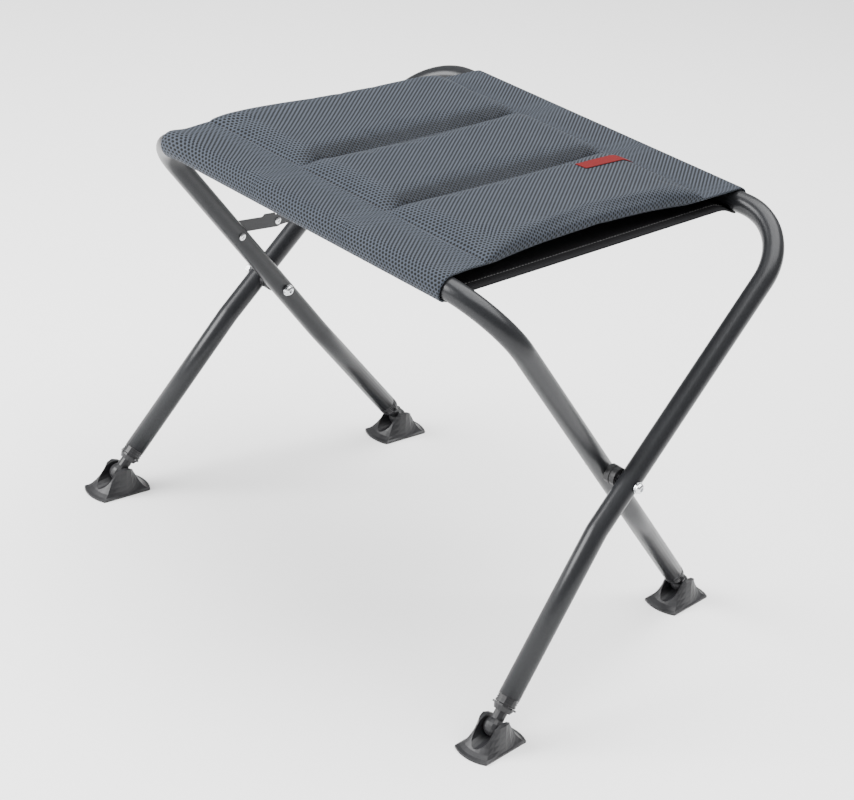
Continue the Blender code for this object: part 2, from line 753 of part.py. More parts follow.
def foot_pad(frame, side):
    """The pad stands flat on the floor and tilts on the ball, whose neck swings in the slot."""
    name = f"{frame.name}_foot_pad_{SIDE_NAMES[side]}"
    turn = Matrix.Rotation(side * PAD_YAW, 4, "Z")
    matrix = Matrix.Translation(frame.ball(side)) @ turn
    pad = add_object(name, pad_mesh(name), FOOT_PLASTIC, matrix)
    socket = bmesh.new()
    socket_radius = BALL_DIAMETER / 2 + SOCKET_GAP
    bmesh.ops.create_uvsphere(socket, u_segments=ROUND_STEPS, v_segments=ROUND_STEPS // 2 + 2, radius=socket_radius)
    socket_mesh = bpy.data.meshes.new(f"{name}_socket")
    socket.to_mesh(socket_mesh)
    socket.free()
    combine(pad, cutter(f"{name}_socket", socket_mesh, matrix), "DIFFERENCE")
    half_slot = (BALL_DIAMETER - PAD_SLOT_NARROWER_THAN_BALL) / 2
    slot = [(half_slot, BALL_HEIGHT * 2), (-half_slot, BALL_HEIGHT * 2)]
    slot += arc((0, 0), half_slot, math.pi, 2 * math.pi, ROUND_STEPS // 2)
    for way, label in ((-1, "front"), (1, "back")):
        outward = Vector((0, way * math.cos(PAD_SLOT_SLOPE), -math.sin(PAD_SLOT_SLOPE)))
        start = outward * PAD_LENGTH / 2
        local = place(start, -outward, X_AXIS * way)
        depth = PAD_LENGTH + 2 * PAD_SLOT_OVERLAP
        tool = extruded(f"{name}_slot_{label}", [slot], depth, None, matrix @ local, CUTTERS)
        tool.hide_render = True
        tool.display_type = "WIRE"
        combine(pad, tool, "DIFFERENCE")
    return pad


# ---------------------------------------------------------------------- seat

SLEEVE_INNER = TUBE_RADIUS + SLEEVE_CLEARANCE
SLEEVE_OUTER = SLEEVE_INNER + COVER_THICKNESS
INNER_RAIL_Y = RAIL_MIDDLE_Y - RAIL_SPACING / 2
OUTER_RAIL_Y = RAIL_MIDDLE_Y + RAIL_SPACING / 2
PADDED_START = INNER_RAIL_Y + INNER_BORDER
PADDED_END = OUTER_RAIL_Y - OUTER_BORDER
ACROSS_SEAT = Matrix(((0, 0, 1, 0), (1, 0, 0, 0), (0, 1, 0, 0), (0, 0, 0, 1)))


def top_line(height):
    """The cover's long run from rail to rail at a height over the rails' axis, raised where it is padded."""
    low = RAIL_HEIGHT + height
    high = low + COVER_RISE
    return [
        (PADDED_START, low),
        (PADDED_START + BORDER_SLOPE, high),
        (PADDED_END - BORDER_SLOPE, high),
        (PADDED_END, low),
    ]


def seat_cover():
    """The mesh cover: one sheet whose ends wrap over the rails and meet the lining underneath."""
    quarter = math.pi / 2
    inner_rail = (INNER_RAIL_Y, RAIL_HEIGHT)
    outer_rail = (OUTER_RAIL_Y, RAIL_HEIGHT)
    steps = ROUND_STEPS // 2
    outline = arc(inner_rail, SLEEVE_OUTER, 3 * quarter, quarter, steps)
    outline += top_line(SLEEVE_OUTER)
    outline += arc(outer_rail, SLEEVE_OUTER, quarter, -quarter, steps)
    outline += arc(outer_rail, SLEEVE_INNER, -quarter, quarter, steps)
    outline += reversed(top_line(SLEEVE_INNER))
    outline += arc(inner_rail, SLEEVE_INNER, quarter, 3 * quarter, steps)
    return extruded("seat_cover", [outline], 2 * SEAT_HALF_LENGTH, SEAT_MESH, ACROSS_SEAT)


def box(name, low, high, paint):
    made = bmesh.new()
    size = Matrix.Diagonal((*(high - low), 1))
    bmesh.ops.create_cube(made, size=1, matrix=Matrix.Translation((low + high) / 2) @ size)
    mesh = bpy.data.meshes.new(name)
    made.to_mesh(mesh)
    made.free()
    return add_object(name, mesh, paint)


def seat_pads():
    """Foam strips that run from border to border under the cover's raised middle."""
    pitch = 2 * SEAT_HALF_LENGTH / PAD_CORE_COUNT
    top = RAIL_HEIGHT + SLEEVE_INNER + COVER_RISE - TOUCH_GAP
    for k in range(PAD_CORE_COUNT):
        start = -SEAT_HALF_LENGTH + k * pitch
        low = Vector((start + PAD_CORE_GAP, PADDED_START + BORDER_SLOPE, top - PAD_CORE_THICKNESS))
        high = Vector((start + pitch - PAD_CORE_GAP, PADDED_END - BORDER_SLOPE, top))
        box(f"seat_pad_{k + 1}", low, high, PAD_FOAM)


def seat_lining():
    """The plain sheet stretched between the undersides of the two rails."""
    bottom = RAIL_HEIGHT - SLEEVE_OUTER
    low = Vector((-SEAT_HALF_LENGTH, INNER_RAIL_Y + TOUCH_GAP, bottom))
    high = Vector((SEAT_HALF_LENGTH, OUTER_RAIL_Y - TOUCH_GAP, bottom + LINING_THICKNESS))
    box("seat_lining", low, high, LINING_CLOTH)


# --------------------------------------------------------------------- build

def build():
    for frame in (INNER, OUTER):
        frame_tube(frame)
        for side in (LEFT, RIGHT):
            end_plug(frame, side)
            ball_stud(frame, side)
            foot_pad(frame, side)
    for side in (LEFT, RIGHT):
        pivot_fasteners(side)
    folding_stay()
    seat_cover()
    seat_pads()
    seat_lining()


build()
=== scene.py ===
# %% [markdown]
# # A folding camp stool
#
# The hard parts of the stool come from its CAD model: two crossed tube frames, the pivots, a folding
# stay and four ball-jointed feet. This lesson gives them their real finishes, and makes the parts that
# CAD leaves plain: the smooth bent tubes, the padded mesh seat and the black lining under it.

import json
import math

import bmesh
import bpy
import numpy as np
from mathutils import Matrix, Vector
from mathutils.bvhtree import BVHTree


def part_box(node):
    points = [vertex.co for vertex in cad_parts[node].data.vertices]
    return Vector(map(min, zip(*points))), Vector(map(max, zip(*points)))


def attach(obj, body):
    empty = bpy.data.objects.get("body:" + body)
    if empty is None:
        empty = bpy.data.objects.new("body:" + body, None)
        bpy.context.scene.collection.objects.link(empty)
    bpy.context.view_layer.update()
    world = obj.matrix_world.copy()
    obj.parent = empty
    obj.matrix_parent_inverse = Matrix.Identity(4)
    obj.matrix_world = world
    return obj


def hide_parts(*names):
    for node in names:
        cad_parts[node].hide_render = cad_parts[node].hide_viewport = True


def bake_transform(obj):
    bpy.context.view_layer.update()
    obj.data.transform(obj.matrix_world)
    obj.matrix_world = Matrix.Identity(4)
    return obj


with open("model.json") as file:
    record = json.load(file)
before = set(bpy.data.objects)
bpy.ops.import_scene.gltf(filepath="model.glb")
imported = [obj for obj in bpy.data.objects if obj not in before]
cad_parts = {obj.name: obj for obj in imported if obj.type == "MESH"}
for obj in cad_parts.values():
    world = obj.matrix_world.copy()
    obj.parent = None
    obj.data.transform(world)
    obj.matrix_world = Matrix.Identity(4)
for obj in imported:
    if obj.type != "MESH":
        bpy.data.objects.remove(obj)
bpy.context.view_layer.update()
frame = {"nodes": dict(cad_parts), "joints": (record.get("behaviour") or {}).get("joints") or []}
nodes = frame["nodes"]
scene = bpy.context.scene

# %% [markdown]
# ## Camera, floor and light
#
# The stool is seen from a little above, over its front right corner, through a long lens that keeps its
# legs nearly parallel. The camera leans a few degrees, as a hand-held one does. The floor is a plain
# pale sheet in a white room. A softbox on the left draws the long bright line down each tube, and a
# large one overhead lights the seat and lays a faint soft shadow round the feet.

# %% Camera
CAMERA_PLACE = Vector((1.449, -1.6318, 1.305))
CAMERA_AIM = Vector((0.0027, -0.0242, 0.2039))
CAMERA_LEAN = math.radians(7.82)

camera_data = bpy.data.cameras.new("camera")
camera_data.lens = 98.75
camera_data.sensor_width = 36
camera_data.shift_x = 0.0089
camera_data.shift_y = -0.0012
camera = bpy.data.objects.new("camera", camera_data)
scene.collection.objects.link(camera)
look = (CAMERA_AIM - CAMERA_PLACE).to_track_quat("-Z", "Y").to_matrix()
lean = Matrix.Rotation(CAMERA_LEAN, 3, "Z")
camera.matrix_world = Matrix.Translation(CAMERA_PLACE) @ (look @ lean).to_4x4()
scene.camera = camera
print("camera distance:", round((CAMERA_AIM - CAMERA_PLACE).length, 3), "m")


# %% Floor and lights
def area_light(name, place, aim, width, height, power):
    data = bpy.data.lights.new(name, "AREA")
    data.shape = "RECTANGLE"
    data.size = width
    data.size_y = height
    data.energy = power
    light = bpy.data.objects.new(name, data)
    scene.collection.objects.link(light)
    light.location = place
    light.rotation_euler = (Vector(aim) - Vector(place)).to_track_quat("-Z", "Y").to_euler()


bpy.ops.mesh.primitive_plane_add(size=30)
floor = bpy.context.object
floor.name = "floor"
floor_paint = bpy.data.materials.new("floor_paper")
floor_paint.use_nodes = True
floor_shader = floor_paint.node_tree.nodes["Principled BSDF"]
floor_shader.inputs["Base Color"].default_value = (1.0, 1.0, 1.0, 1)
floor_shader.inputs["Roughness"].default_value = 0.9
floor_shader.inputs["Specular IOR Level"].default_value = 0.1
floor.data.materials.append(floor_paint)

world = bpy.data.worlds.new("room")
scene.world = world
world.use_nodes = True
world.node_tree.nodes["Background"].inputs["Color"].default_value = (1, 1, 1, 1)
world.node_tree.nodes["Background"].inputs["Strength"].default_value = 0.5

area_light("softbox_left", (-1.15, -2.0, 1.4), (0, 0, 0.25), 1.5, 1.5, 150)
area_light("softbox_top", (0.3, 0.6, 2.8), (0, 0, 0), 3.4, 3.4, 260)

# %% [markdown]
# ## Finishes
#
# Each finish starts from the Principled shader. A small node helper keeps the graphs readable: it adds a
# node, sets its inputs by name, and links any input that is given another node's output.


# %% Node helpers
def new_finish(name):
    made = bpy.data.materials.new(name)
    made.use_nodes = True
    return made, made.node_tree, made.node_tree.nodes["Principled BSDF"]


def feed(tree, node, values):
    """Sets a node's inputs by name or number; an output socket is linked, anything else is a value."""
    for key, value in values.items():
        socket = node.inputs[key]
        if isinstance(value, bpy.types.NodeSocket):
            tree.links.new(value, socket)
        else:
            socket.default_value = value


def add_node(tree, kind, values=None, **settings):
    node = tree.nodes.new(kind)
    for key, value in settings.items():
        setattr(node, key, value)
    feed(tree, node, values or {})
    return node


def maths(tree, operation, first, second=0.0):
    return add_node(tree, "ShaderNodeMath", {0: first, 1: second}, operation=operation).outputs[0]


def ramp(tree, factor, low, high):
    """0 below low, 1 above high, smooth between."""
    node = add_node(tree, "ShaderNodeMapRange", {"Value": factor, "From Min": low, "From Max": high})
    node.interpolation_type = "SMOOTHSTEP"
    return node.outputs["Result"]


def mix_colour(tree, factor, first, second):
    node = add_node(tree, "ShaderNodeMix", data_type="RGBA")
    feed(tree, node, {0: factor, 6: first, 7: second})
    return node.outputs[2]


def bump(tree, height, distance, strength):
    values = {"Height": height, "Distance": distance, "Strength": strength}
    return add_node(tree, "ShaderNodeBump", values).outputs["Normal"]


def object_noise(tree, scale, detail=3.0):
    place = add_node(tree, "ShaderNodeTexCoord").outputs["Object"]
    values = {"Vector": place, "Scale": scale, "Detail": detail, "Roughness": 0.5}
    return add_node(tree, "ShaderNodeTexNoise", values).outputs[0]


# %% [markdown]
# ### Frame paint, zinc and nylon
#
# The tubes are painted dark grey with a fine metallic flake, satin rather than glossy, so a highlight on
# them is bright but soft-edged. Flake is a very fine noise in the colour and in the bump. A slow drift in
# the roughness breaks the highlight up a little, as sprayed paint does. Bolts, nuts, washers and rivets
# are bright zinc, a metal with a mottled shine. Feet, plugs and spacers are moulded nylon, nearly black,
# with a fine grain and patches that shine a little less. All three are noise over the object's own
# space, which needs no unwrapping on such small parts.


# %% Frame paint, zinc and moulded nylon
def frame_paint():
    finish, tree, shader = new_finish("frame_paint")
    flake = object_noise(tree, 2600, 2)
    drift = object_noise(tree, 35)
    is_flake = ramp(tree, flake, 0.35, 0.7)
    feed(tree, shader, {
        "Base Color": mix_colour(tree, is_flake, (0.009, 0.0095, 0.0105, 1), (0.026, 0.027, 0.030, 1)),
        "Metallic": 0.2,
        "Roughness": maths(tree, "ADD", maths(tree, "MULTIPLY", drift, 0.08), 0.27),
        "Specular IOR Level": 0.32,
        "Normal": bump(tree, flake, 0.00004, 0.5),
    })
    return finish


def bright_zinc():
    finish, tree, shader = new_finish("bright_zinc")
    mottle = object_noise(tree, 900, 3)
    feed(tree, shader, {
        "Base Color": mix_colour(tree, mottle, (0.62, 0.63, 0.65, 1), (0.86, 0.87, 0.88, 1)),
        "Metallic": 1.0,
        "Roughness": maths(tree, "ADD", maths(tree, "MULTIPLY", mottle, 0.12), 0.16),
        "Normal": bump(tree, mottle, 0.00005, 0.4),
    })
    return finish


def moulded_nylon(name, dark, light):
    finish, tree, shader = new_finish(name)
    grain = object_noise(tree, 1500, 3)
    patches = object_noise(tree, 60)
    feed(tree, shader, {
        "Base Color": mix_colour(tree, patches, dark, light),
        "Roughness": maths(tree, "ADD", maths(tree, "MULTIPLY", patches, 0.12), 0.38),
        "Specular IOR Level": 0.4,
        "Normal": bump(tree, grain, 0.00008, 0.35),
    })
    return finish


FRAME_PAINT = frame_paint()
ZINC = bright_zinc()
FOOT_NYLON = moulded_nylon("foot_nylon", (0.010, 0.010, 0.011, 1), (0.018, 0.018, 0.020, 1))
SPACER_NYLON = moulded_nylon("spacer_nylon", (0.006, 0.006, 0.007, 1), (0.012, 0.012, 0.013, 1))


def finish_nodes(finish, names):
    for name in names:
        nodes[name].data.materials.clear()
        nodes[name].data.materials.append(finish)


def named(*parts):
    return [name for name in nodes if any(part in name for part in parts)]


finish_nodes(FRAME_PAINT, named("stay_link"))
finish_nodes(ZINC, named("pivot_bolt", "pivot_nut", "washer", "rivet"))
finish_nodes(FOOT_NYLON, named("end_plug", "ball_stud", "foot_pad"))
finish_nodes(SPACER_NYLON, named("pivot_spacer"))
print("finished nodes:", len(named("stay", "pivot", "end_plug", "ball_stud", "foot_pad")))

# %% [markdown]
# ## The bent tubes
#
# Each frame is one tube bent into a U: a seat rail, two quarter bends, and two legs with a slight knee
# below the pivot. In CAD the tube has few facets, enough to hold and to collide. Here the same route is
# swept again with many more, so its highlight runs clean. The route is worked out from the frame: the
# rails from the tubes' boxes, the crossing from the fold joint, and each lower leg from its foot's ball
# joint, whose axis is the leg's own.

# %% Where the tubes run
TUBE_RADIUS = 0.011
TUBE_WALL = 0.0015
RAIL_BEND_RADIUS = 0.068
KNEE_BEND_RADIUS = 0.060
KNEE_BELOW_PIVOT = {"inner": 0.091, "outer": 0.057}
RAIL_LEAN = {"inner": 0.010, "outer": -0.010}
SPACER_GAP = 0.0006
PLUG_REACH = 0.0313
BEND_STEP = math.radians(3)
SIDES = {"left": -1, "right": 1}

joint_place = {joint["name"]: Vector(joint["pos_m"]) for joint in frame["joints"]}
joint_axis = {joint["name"]: Vector(joint["axis"]) for joint in frame["joints"]}
inner_low, inner_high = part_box("inner_frame_tube")
outer_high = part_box("outer_frame_tube")[1]
spacer_low, spacer_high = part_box("pivot_spacer_right")
RAIL_HEIGHT = inner_high.z - TUBE_RADIUS
RAIL_Y = {"inner": inner_low.y + TUBE_RADIUS, "outer": outer_high.y - TUBE_RADIUS}
PIVOT_HALF = {
    "inner": spacer_low.x - SPACER_GAP - TUBE_RADIUS,
    "outer": spacer_high.x + SPACER_GAP + TUBE_RADIUS,
}


def leg(name, side):
    """A leg's corner at the rail, its knee, and its end at the plug."""
    pivot = joint_place["fold"]
    way = SIDES[side]
    crossing = Vector((way * PIVOT_HALF[name], pivot.y, pivot.z))
    corner = Vector((way * (PIVOT_HALF[name] + RAIL_LEAN[name]), RAIL_Y[name], RAIL_HEIGHT))
    upper = corner - crossing
    knee = crossing - upper * (KNEE_BELOW_PIVOT[name] / math.hypot(upper.y, upper.z))
    foot = f"{name}_stud_{side}_swivel"
    end = joint_place[foot] + joint_axis[foot].normalized() * PLUG_REACH
    return corner, knee, end


def rounded_path(points, radii):
    """A line through points in space with each inner corner rounded to its radius."""
    path = [points[0]]
    for before, corner, after, radius in zip(points, points[1:], points[2:], radii):
        to_before = (before - corner).normalized()
        to_after = (after - corner).normalized()
        half_angle = to_before.angle(to_after) / 2
        start = corner + to_before * radius / math.tan(half_angle)
        centre = corner + (to_before + to_after).normalized() * radius / math.sin(half_angle)
        sweep = math.pi - 2 * half_angle
        steps = math.ceil(sweep / BEND_STEP)
        axis = to_after.cross(to_before).normalized()
        for i in range(steps + 1):
            path.append(centre + Matrix.Rotation(sweep * i / steps, 3, axis) @ (start - centre))
    path.append(points[-1])
    return path


print("rails at y", [round(y, 4) for y in RAIL_Y.values()], "height", round(RAIL_HEIGHT, 4))


# %% Sweep the tubes
def swept(name, paths, radius, resolution, finish, caps=False):
    """One mesh of round strands that follow lines of points."""
    curve = bpy.data.curves.new(name, "CURVE")
    curve.dimensions = "3D"
    curve.bevel_depth = radius
    curve.bevel_resolution = resolution
    curve.use_fill_caps = caps
    for path in paths:
        spline = curve.splines.new("POLY")
        spline.points.add(len(path) - 1)
        for point, place in zip(spline.points, path):
            point.co = (*place, 1.0)
    guide = bpy.data.objects.new(f"{name}_guide", curve)
    scene.collection.objects.link(guide)
    bpy.context.view_layer.update()
    mesh = bpy.data.meshes.new_from_object(guide.evaluated_get(bpy.context.evaluated_depsgraph_get()))
    bpy.data.objects.remove(guide, do_unlink=True)
    mesh.materials.clear()
    mesh.materials.append(finish)
    mesh.shade_smooth()
    made = bpy.data.objects.new(name, mesh)
    scene.collection.objects.link(made)
    return made


for name in ("inner", "outer"):
    left_corner, left_knee, left_end = leg(name, "left")
    right_corner, right_knee, right_end = leg(name, "right")
    corners = [left_end, left_knee, left_corner, right_corner, right_knee, right_end]
    radii = [KNEE_BEND_RADIUS, RAIL_BEND_RADIUS, RAIL_BEND_RADIUS, KNEE_BEND_RADIUS]
    tube = swept(f"{name}_bent_tube", [rounded_path(corners, radii)], TUBE_RADIUS, 8, FRAME_PAINT)
    wall = tube.modifiers.new("wall", "SOLIDIFY")
    wall.thickness = TUBE_WALL
    wall.offset = -1
    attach(tube, f"{name}_frame")
    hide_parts(f"{name}_frame_tube")
    print(tube.name, "rings:", len(tube.data.vertices))

# %% [markdown]
# ## The seat cover
#
# The cover is one padded panel of coarse mesh. Its two ends wrap over the seat rails, a plain border runs
# along each rail, and between the borders lie three stuffed channels divided by two sewn seams. It is
# laid out as a closed quilt over a flat grid, with finer steps beside each seam, where the cloth turns
# down fast. A round shoulder lifts each channel from its seams, and a short cloth simulation with air
# pressure then settles the filling while every seam and sleeve is held, as thread and tube hold them.

# %% Seat sizes
SEAT_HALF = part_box("seat_cover")[1].x
SLEEVE_RADIUS = 0.0130
INNER_SEAM_Y = -0.164
OUTER_SEAM_Y = 0.148
CHANNEL_SEAMS = (-0.066, 0.056)
SHEET_HALF = 0.0011
TOP_RISE = 0.0082
UNDER_RISE = 0.0040
CHANNEL_SHOULDER = 0.017
BORDER_SHOULDER = 0.026
EDGE_SHOULDER = 0.012
EDGE_HEIGHT = 0.005
NEAR_ARCH = 0.0095
FAR_ARCH = 0.0005
CLOTH_STEP = 0.004
SEAM_STEPS = (0.0012, 0.0032, 0.0064)
SLEEVE_STEP = math.radians(15)


def run(start, end, step):
    """Even steps from start up to but not including end."""
    count = max(1, round(abs(end - start) / step))
    return [start + (end - start) * i / count for i in range(count)]


def panel(start, end):
    """Steps across a stuffed panel, closer together beside the seam or edge at each end."""
    first = [start] + [start + gap for gap in SEAM_STEPS[:-1]]
    last = [end - gap for gap in reversed(SEAM_STEPS)]
    return first + run(start + SEAM_STEPS[-1], last[0], CLOTH_STEP) + last


def sleeve(rail_y, start, end):
    """Points, and the directions they face, round a rail from one angle to another."""
    made = []
    for angle in run(start, end, SLEEVE_STEP):
        facing = (math.cos(angle), math.sin(angle))
        made.append((rail_y + SLEEVE_RADIUS * facing[0], RAIL_HEIGHT + SLEEVE_RADIUS * facing[1], facing))
    return made


top_z = RAIL_HEIGHT + SLEEVE_RADIUS
line = sleeve(RAIL_Y["inner"], 1.5 * math.pi, 0.5 * math.pi)
line += [(y, top_z, (0, 1)) for y in run(RAIL_Y["inner"], INNER_SEAM_Y, CLOTH_STEP)]
first_fill = len(line)
line += [(y, top_z, (0, 1)) for y in panel(INNER_SEAM_Y, OUTER_SEAM_Y)]
last_fill = len(line)
line += [(y, top_z, (0, 1)) for y in run(OUTER_SEAM_Y, RAIL_Y["outer"], CLOTH_STEP)]
line += sleeve(RAIL_Y["outer"], 0.5 * math.pi, -0.5 * math.pi - SLEEVE_STEP)

columns = panel(-SEAT_HALF, CHANNEL_SEAMS[0])
seam_columns = [len(columns)]
columns += panel(*CHANNEL_SEAMS)
seam_columns.append(len(columns))
columns += panel(CHANNEL_SEAMS[1], SEAT_HALF)
columns.append(SEAT_HALF)
last_column = len(columns) - 1
last_row = len(line) - 1
print("cloth grid:", len(columns), "x", len(line))


# %% The shape of the stuffed channels
EDGE_FULLNESS = 0.0008
ARCH_POWER = 0.6


def shoulder(distance, width):
    """Rises from 0 at a seam, steeply at first, to 1 at this distance from it."""
    share = min(max(distance / width, 0.0), 1.0)
    return math.sqrt(1 - (1 - share) ** 2)


def fullness(x, y):
    """How full the quilt is here, from 0 on a seam to 1 in the middle of a channel."""
    from_channel_seam = min(abs(x - seam) for seam in CHANNEL_SEAMS)
    from_border = min(y - INNER_SEAM_Y, OUTER_SEAM_Y - y)
    from_edge = SEAT_HALF - abs(x) + EDGE_FULLNESS
    across = shoulder(from_channel_seam, CHANNEL_SHOULDER) * shoulder(from_edge, EDGE_SHOULDER)
    return across * shoulder(from_border, BORDER_SHOULDER)


def arch(x, y):
    """The two free edges stand up between the borders, the near one the most."""
    along = (y - INNER_SEAM_Y) / (OUTER_SEAM_Y - INNER_SEAM_Y)
    if not 0 < along < 1:
        return 0.0
    near = max(0.0, (x - CHANNEL_SEAMS[1]) / (SEAT_HALF - CHANNEL_SEAMS[1]))
    far = max(0.0, (CHANNEL_SEAMS[0] - x) / (CHANNEL_SEAMS[0] + SEAT_HALF))
    return math.sin(math.pi * along) ** ARCH_POWER * (NEAR_ARCH * near + FAR_ARCH * far)


def lifts(x, y):
    """The height of the quilt's upper face and the depth of its lower one, from the sheet's middle."""
    full = fullness(x, y)
    return SHEET_HALF + TOP_RISE * full, SHEET_HALF + UNDER_RISE * full


# %% [markdown]
# ### Round the ends of the rails
#
# The sleeves reach a little way into the rails' bends, and at the far corner of the inner rail the cloth
# has crept further round. There each point turns about the bend's centre with the tube, and the cloth
# beside the rail follows it less and less.

# %% Follow the rails' bends
CORNER_CREEP = 0.020
CREEP_START = 0.110
FOLLOW_WIDTH = 0.045


def bend_start(name):
    """How far from the middle a rail begins to bend, and the direction its legs leave in."""
    corner, knee, _ = leg(name, "right")
    down = (knee - corner).normalized()
    half_angle = down.angle(Vector((-1, 0, 0))) / 2
    flat_down = Vector((0, down.y, down.z)).normalized()
    return corner.x - RAIL_BEND_RADIUS / math.tan(half_angle), flat_down


BENDS = {name: bend_start(name) for name in ("inner", "outer")}


def follow_bend(place, name):
    """The point carried round a rail's bend, as if the straight sleeve had been slid round it."""
    straight, down = BENDS[name]
    turn = (abs(place.x) - straight) / RAIL_BEND_RADIUS
    if turn <= 0:
        return place
    offset = place - Vector((place.x, RAIL_Y[name], RAIL_HEIGHT))
    depth = offset.dot(down)
    reach = RAIL_BEND_RADIUS - depth
    x = math.copysign(straight + reach * math.sin(turn), place.x)
    turned_depth = RAIL_BEND_RADIUS - reach * math.cos(turn)
    moved = offset + down * (turned_depth - depth)
    return Vector((x, RAIL_Y[name] + moved.y, RAIL_HEIGHT + moved.z))


def settle(place):
    """Creeps the far inner corner outward, then carries what lies near a rail round its bend."""
    y_share = (OUTER_SEAM_Y - place.y) / (OUTER_SEAM_Y - RAIL_Y["inner"])
    creep = max(0.0, (-place.x - CREEP_START) / (SEAT_HALF - CREEP_START)) ** 2
    place.x -= CORNER_CREEP * creep * min(max(y_share, 0.0), 1.0) ** 1.5
    for name in ("inner", "outer"):
        away = max(0.0, abs(place.y - RAIL_Y[name]) - SLEEVE_RADIUS)
        hold = max(0.0, 1 - away / FOLLOW_WIDTH) ** 2
        place = place.lerp(follow_bend(place, name), hold)
    return place


print("rails bend beyond", [round(BENDS[name][0], 4) for name in BENDS])

# %% Lay out the quilt
row_lengths = [0.0]
for before, after in zip(line, line[1:]):
    row_lengths.append(row_lengths[-1] + math.hypot(after[0] - before[0], after[1] - before[1]))
middle_y = (INNER_SEAM_Y + OUTER_SEAM_Y) / 2
column_lengths = [0.0]
for before, after in zip(columns, columns[1:]):
    rise = lifts(after, middle_y)[0] - lifts(before, middle_y)[0]
    column_lengths.append(column_lengths[-1] + math.hypot(after - before, rise))


def is_sewn(column, row):
    return column in seam_columns or not first_fill < row < last_fill


def closed_grid(name, place_at, last_i, last_j, uv_at, finish, edge_height=0.0):
    """Two layers of a grid joined round their edges, with flat-cloth coordinates, and its point numbers."""
    made = bmesh.new()
    flat_uv = made.loops.layers.uv.new("flat_cloth")
    spots = [(layer, i, j) for layer in (1, -1) for i in range(last_i + 1) for j in range(last_j + 1)]
    points = {spot: made.verts.new(place_at(*spot)) for spot in spots}

    def add_face(*corners):
        face = made.faces.new([points[corner] for corner in corners])
        face.smooth = True
        for loop, (_, i, j) in zip(face.loops, corners):
            loop[flat_uv].uv = uv_at(i, j)
        return face

    def add_side(i, *corners):
        """A strip down a free edge, whose cloth carries on past the upper face by the strip's height."""
        face = add_face(*corners)
        for loop, (layer, _, j) in zip(face.loops, corners):
            u, v = uv_at(i, j)
            loop[flat_uv].uv = (u + math.copysign(edge_height, i - 0.5) * (layer < 0), v)

    for i in range(last_i):
        for j in range(last_j):
            add_face((1, i, j), (1, i + 1, j), (1, i + 1, j + 1), (1, i, j + 1))
            add_face((-1, i, j + 1), (-1, i + 1, j + 1), (-1, i + 1, j), (-1, i, j))
        add_face((-1, i, 0), (-1, i + 1, 0), (1, i + 1, 0), (1, i, 0))
        add_face((1, i, last_j), (1, i + 1, last_j), (-1, i + 1, last_j), (-1, i, last_j))
    for j in range(last_j):
        add_side(0, (-1, 0, j + 1), (-1, 0, j), (1, 0, j), (1, 0, j + 1))
        add_side(last_i, (-1, last_i, j), (-1, last_i, j + 1), (1, last_i, j + 1), (1, last_i, j))
    made.verts.index_update()
    numbers = {spot: point.index for spot, point in points.items()}
    bmesh.ops.recalc_face_normals(made, faces=made.faces)
    mesh = bpy.data.meshes.new(name)
    made.to_mesh(mesh)
    made.free()
    mesh.materials.append(finish)
    obj = bpy.data.objects.new(name, mesh)
    scene.collection.objects.link(obj)
    return obj, numbers


def quilt_place(layer, i, j):
    y, z, facing = line[j]
    up, under = lifts(columns[i], y) if first_fill < j < last_fill else (SHEET_HALF, SHEET_HALF)
    lift = up if layer > 0 else -under
    raised = arch(columns[i], y)
    return settle(Vector((columns[i], y + facing[0] * lift, z + facing[1] * lift + raised)))


# %% [markdown]
# ### Air mesh
#
# The cloth is a coarse spacer mesh: pale threads round dark six-sided holes in staggered rows about 4 mm
# apart. Three cosine waves at sixty degrees to each other add up to just such a honeycomb, with a peak in
# each hole. Where the cloth lies flat and is pulled tight its holes close to slanting ribs, so there one
# wave is made stronger than the other two. Over the rails and beside the seams the holes stay open. On
# the slope that runs down to each channel seam from its far side, shade is painted in: the holes there are
# opened wider and the threads darkened. The waves run over the cloth's own flat coordinates, kept in a UV
# map in metres.

# %% Air mesh
WEAVE_ACROSS = 0.0042
WEAVE_ALONG = 0.0062
OPEN_WIDTH = 0.012
RIB_WIDTH = 0.030
SLOPE_MIDDLE = 0.007
SLOPE_WIDTH = (0.004, 0.017)
SLOPE_END = 0.030
SLEEVE_TURN = 0.012
BORDER_TURN = 0.004


def cloth_place(tree):
    uv = add_node(tree, "ShaderNodeUVMap", uv_map="flat_cloth").outputs["UV"]
    split = add_node(tree, "ShaderNodeSeparateXYZ", {"Vector": uv})
    return split.outputs["X"], split.outputs["Y"]


def wave(tree, distance, pitch):
    return maths(tree, "COSINE", maths(tree, "MULTIPLY", distance, 2 * math.pi / pitch))


def nearest_line(tree, distance, lines):
    """How far a coordinate is from the nearest of some fixed lines."""
    nearest = None
    for position in lines:
        gap = maths(tree, "ABSOLUTE", maths(tree, "SUBTRACT", distance, position))
        nearest = gap if nearest is None else maths(tree, "MINIMUM", nearest, gap)
    return nearest


def painted_slope_shade(tree, across, along):
    """1 on the slope down to each channel seam from its far side, where painted shade goes."""
    before = maths(tree, "SUBTRACT", row_lengths[first_fill], along)
    after = maths(tree, "SUBTRACT", along, row_lengths[last_fill])
    beyond = maths(tree, "MAXIMUM", before, after)
    middles = [column_lengths[k] - SLOPE_MIDDLE for k in seam_columns]
    away = ramp(tree, nearest_line(tree, across, middles), *SLOPE_WIDTH)
    beside = maths(tree, "SUBTRACT", 1.0, away)
    inside = maths(tree, "SUBTRACT", 1.0, ramp(tree, beyond, -SLOPE_END, 0.0))
    return maths(tree, "MULTIPLY", beside, inside)


